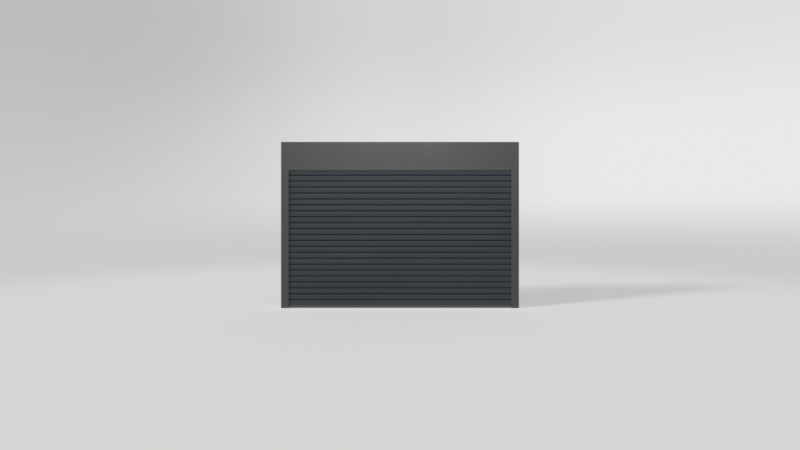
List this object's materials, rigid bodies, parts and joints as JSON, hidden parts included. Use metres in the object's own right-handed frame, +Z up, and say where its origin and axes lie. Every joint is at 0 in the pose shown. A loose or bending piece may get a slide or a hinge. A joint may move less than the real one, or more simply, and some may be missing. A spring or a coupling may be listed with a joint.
{
  "type": "roller door",
  "caption": "Roller garage door: hollow interlocking slats in guide rails, a flush square box above with barrel and tubular motor, and a rubber-edged bottom rail.",
  "frame": {"origin": "on the floor, midway between the rails and midway between the box's front and rear faces", "axes": "+X along the door's width to the right seen from outside, +Y into the building, +Z up"},
  "size_m": [3.084, 0.36, 2.154],
  "materials": {
    "frame_coat": "satin warm grey powder coat",
    "slat_coat": "satin anthracite powder coat",
    "edge_rubber": "matt grey rubber",
    "slide_plastic": "matt black plastic",
    "funnel_plastic": "matt dark plastic",
    "cast_alloy": "cast aluminium",
    "bright_steel": "turned steel",
    "galvanised": "zinc-coated steel",
    "motor_coat": "plain coat"
  },
  "bodies": {
    "frame": {"guide_rail_left": "frame_coat", "guide_rail_right": "frame_coat", "slide_inserts_left": "slide_plastic", "slide_inserts_right": "slide_plastic", "rail_feet": "slide_plastic", "side_plate_left": "frame_coat", "side_plate_right": "frame_coat", "inlet_funnel_left": "funnel_plastic", "inlet_funnel_right": "funnel_plastic", "box_front_cover": "frame_coat", "box_top_cover": "frame_coat", "box_rear_cover": "frame_coat", "box_bottom_cover": "frame_coat", "cover_screws": "bright_steel", "cable_gland": "funnel_plastic", "bearing_bracket": "cast_alloy", "bearing_outer_ring": "bright_steel", "motor_bracket": "galvanised", "motor_head": "funnel_plastic", "motor_tube": "motor_coat", "bracket_screws": "bright_steel"},
    "barrel": {"barrel": "galvanised", "idler_capsule": "funnel_plastic", "idler_pin": "bright_steel", "bearing_inner_ring": "bright_steel", "bearing_balls": "bright_steel", "drive_shaft": "bright_steel", "drive_adapter": "cast_alloy", "limit_crown": "funnel_plastic", "hanger_clips": "bright_steel"},
    "bottom_rail": {"bottom_rail": "slat_coat", "bottom_seal": "edge_rubber", "bottom_rail_end_caps": "slide_plastic", "bottom_stops": "edge_rubber", "stop_screws": "bright_steel"},
    "slat_01": {"slat_01": "slat_coat"},
    "slat_02": {"slat_02": "slat_coat"},
    "slat_03": {"slat_03": "slat_coat"},
    "slat_04": {"slat_04": "slat_coat"},
    "slat_05": {"slat_05": "slat_coat"},
    "slat_06": {"slat_06": "slat_coat"},
    "slat_07": {"slat_07": "slat_coat"},
    "slat_08": {"slat_08": "slat_coat"},
    "slat_09": {"slat_09": "slat_coat"},
    "slat_10": {"slat_10": "slat_coat"},
    "slat_11": {"slat_11": "slat_coat"},
    "slat_12": {"slat_12": "slat_coat"},
    "slat_13": {"slat_13": "slat_coat"},
    "slat_14": {"slat_14": "slat_coat"},
    "slat_15": {"slat_15": "slat_coat"},
    "slat_16": {"slat_16": "slat_coat"},
    "slat_17": {"slat_17": "slat_coat"},
    "slat_18": {"slat_18": "slat_coat"},
    "slat_19": {"slat_19": "slat_coat"},
    "slat_20": {"slat_20": "slat_coat"},
    "slat_21": {"slat_21": "slat_coat"},
    "slat_22": {"slat_22": "slat_coat"},
    "slat_23": {"slat_23": "slat_coat", "hanger_links": "funnel_plastic"}
  },
  "joints": [
    {"name": "curtain_lift", "type": "slide", "parent": "frame", "child": "bottom_rail", "axis": [0, 0, 1], "range_m": [0, 1.694], "deforming": ["slat_01", "slat_02", "slat_03", "slat_04", "slat_05", "slat_06", "slat_07", "slat_08", "slat_09", "slat_10", "slat_11", "slat_12", "slat_13", "slat_14", "slat_15", "slat_16", "slat_17", "slat_18", "slat_19", "slat_20", "slat_21", "slat_22", "slat_23", "hanger_links"]},
    {"name": "slat_01_rise", "type": "slide", "parent": "frame", "child": "slat_01", "axis": [0, 0, 1], "range_m": [0, 1.6945]},
    {"name": "slat_02_rise", "type": "slide", "parent": "frame", "child": "slat_02", "axis": [0, 0, 1], "range_m": [0, 1.6243]},
    {"name": "slat_03_rise", "type": "slide", "parent": "frame", "child": "slat_03", "axis": [0, 0, 1], "range_m": [0, 1.5541]},
    {"name": "slat_04_rise", "type": "slide", "parent": "frame", "child": "slat_04", "axis": [0, 0, 1], "range_m": [0, 1.484]},
    {"name": "slat_05_rise", "type": "slide", "parent": "frame", "child": "slat_05", "axis": [0, 0, 1], "range_m": [0, 1.4138]},
    {"name": "slat_06_rise", "type": "slide", "parent": "frame", "child": "slat_06", "axis": [0, 0, 1], "range_m": [0, 1.3436]},
    {"name": "slat_07_rise", "type": "slide", "parent": "frame", "child": "slat_07", "axis": [0, 0, 1], "range_m": [0, 1.2734]},
    {"name": "slat_08_rise", "type": "slide", "parent": "frame", "child": "slat_08", "axis": [0, 0, 1], "range_m": [0, 1.2032]},
    {"name": "slat_09_rise", "type": "slide", "parent": "frame", "child": "slat_09", "axis": [0, 0, 1], "range_m": [0, 1.133]},
    {"name": "slat_10_rise", "type": "slide", "parent": "frame", "child": "slat_10", "axis": [0, 0, 1], "range_m": [0, 1.0629]},
    {"name": "slat_11_rise", "type": "slide", "parent": "frame", "child": "slat_11", "axis": [0, 0, 1], "range_m": [0, 0.9927]},
    {"name": "slat_12_rise", "type": "slide", "parent": "frame", "child": "slat_12", "axis": [0, 0, 1], "range_m": [0, 0.9225]},
    {"name": "slat_13_rise", "type": "slide", "parent": "frame", "child": "slat_13", "axis": [0, 0, 1], "range_m": [0, 0.8523]},
    {"name": "slat_14_rise", "type": "slide", "parent": "frame", "child": "slat_14", "axis": [0, 0, 1], "range_m": [0, 0.7821]},
    {"name": "slat_15_rise", "type": "slide", "parent": "frame", "child": "slat_15", "axis": [0, 0, 1], "range_m": [0, 0.712]},
    {"name": "slat_16_rise", "type": "slide", "parent": "frame", "child": "slat_16", "axis": [0, 0, 1], "range_m": [0, 0.6418]},
    {"name": "slat_17_rise", "type": "slide", "parent": "frame", "child": "slat_17", "axis": [0, 0, 1], "range_m": [0, 0.5716]},
    {"name": "slat_18_rise", "type": "slide", "parent": "frame", "child": "slat_18", "axis": [0, 0, 1], "range_m": [0, 0.5014]},
    {"name": "slat_19_rise", "type": "slide", "parent": "frame", "child": "slat_19", "axis": [0, 0, 1], "range_m": [0, 0.4312]},
    {"name": "slat_20_rise", "type": "slide", "parent": "frame", "child": "slat_20", "axis": [0, 0, 1], "range_m": [0, 0.361]},
    {"name": "slat_21_rise", "type": "slide", "parent": "frame", "child": "slat_21", "axis": [0, 0, 1], "range_m": [0, 0.2909]},
    {"name": "slat_22_rise", "type": "slide", "parent": "frame", "child": "slat_22", "axis": [0, 0, 1], "range_m": [0, 0.2207]},
    {"name": "slat_23_rise", "type": "slide", "parent": "frame", "child": "slat_23", "axis": [0, 0, 1], "range_m": [0, 0.1505]},
    {"name": "barrel_turn", "type": "hinge", "parent": "frame", "child": "barrel", "pos_m": [0, -0.005, 1.969], "axis": [-1, 0, 0], "range_deg": [0, 1081]}
  ],
  "couplings": [
    {"joint": "slat_01_rise", "follows": "curtain_lift", "ratio": 1},
    {"joint": "slat_02_rise", "follows": "curtain_lift", "ratio": 0.95857},
    {"joint": "slat_03_rise", "follows": "curtain_lift", "ratio": 0.91714},
    {"joint": "slat_04_rise", "follows": "curtain_lift", "ratio": 0.87571},
    {"joint": "slat_05_rise", "follows": "curtain_lift", "ratio": 0.83428},
    {"joint": "slat_06_rise", "follows": "curtain_lift", "ratio": 0.79285},
    {"joint": "slat_07_rise", "follows": "curtain_lift", "ratio": 0.75142},
    {"joint": "slat_08_rise", "follows": "curtain_lift", "ratio": 0.70999},
    {"joint": "slat_09_rise", "follows": "curtain_lift", "ratio": 0.66856},
    {"joint": "slat_10_rise", "follows": "curtain_lift", "ratio": 0.62713},
    {"joint": "slat_11_rise", "follows": "curtain_lift", "ratio": 0.5857},
    {"joint": "slat_12_rise", "follows": "curtain_lift", "ratio": 0.54427},
    {"joint": "slat_13_rise", "follows": "curtain_lift", "ratio": 0.50284},
    {"joint": "slat_14_rise", "follows": "curtain_lift", "ratio": 0.46142},
    {"joint": "slat_15_rise", "follows": "curtain_lift", "ratio": 0.41998},
    {"joint": "slat_16_rise", "follows": "curtain_lift", "ratio": 0.37855},
    {"joint": "slat_17_rise", "follows": "curtain_lift", "ratio": 0.33713},
    {"joint": "slat_18_rise", "follows": "curtain_lift", "ratio": 0.2957},
    {"joint": "slat_19_rise", "follows": "curtain_lift", "ratio": 0.25427},
    {"joint": "slat_20_rise", "follows": "curtain_lift", "ratio": 0.21284},
    {"joint": "slat_21_rise", "follows": "curtain_lift", "ratio": 0.17141},
    {"joint": "slat_22_rise", "follows": "curtain_lift", "ratio": 0.12998},
    {"joint": "slat_23_rise", "follows": "curtain_lift", "ratio": 0.088548},
    {"joint": "barrel_turn", "follows": "curtain_lift", "rad_per_m": 11.127}
  ]
}
